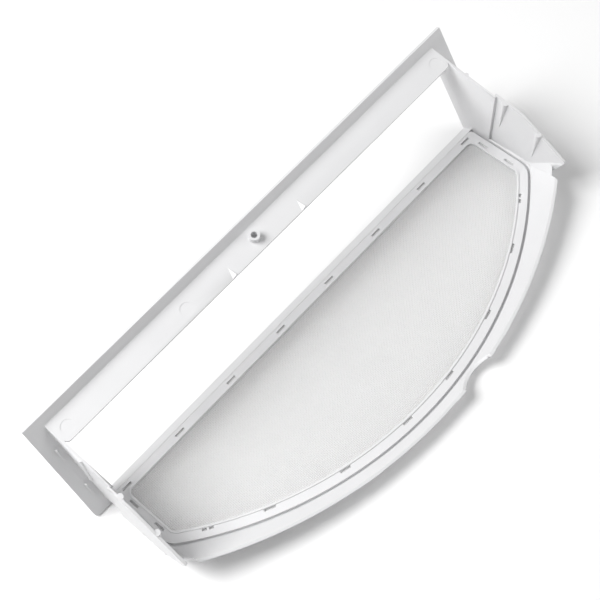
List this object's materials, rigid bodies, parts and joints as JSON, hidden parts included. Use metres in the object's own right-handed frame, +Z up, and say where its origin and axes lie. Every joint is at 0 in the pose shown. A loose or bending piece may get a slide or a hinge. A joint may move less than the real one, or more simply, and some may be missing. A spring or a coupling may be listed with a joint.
{
  "type": "tumble dryer lint filter",
  "caption": "Moulded plastic lint filter basket with a leaning open front plate, end cheeks, a sloped curved rear wall and a D-shaped woven mesh screen in a slotted frame.",
  "frame": {"origin": "centre of the part's footprint, on the surface that it lies on", "axes": "+X along the front plate, +Y from the front plate to the curved rear wall, +Z up"},
  "size_m": [0.35, 0.1492, 0.0753],
  "materials": {
    "basket_plastic": "white moulded plastic, satin",
    "frame_plastic": "white moulded plastic, satin",
    "screen_mesh": "fine woven polyester monofilament"
  },
  "bodies": {
    "root": {"filter_basket": "basket_plastic", "mesh_frame": "frame_plastic", "mesh_screen": "screen_mesh"}
  },
  "joints": []
}
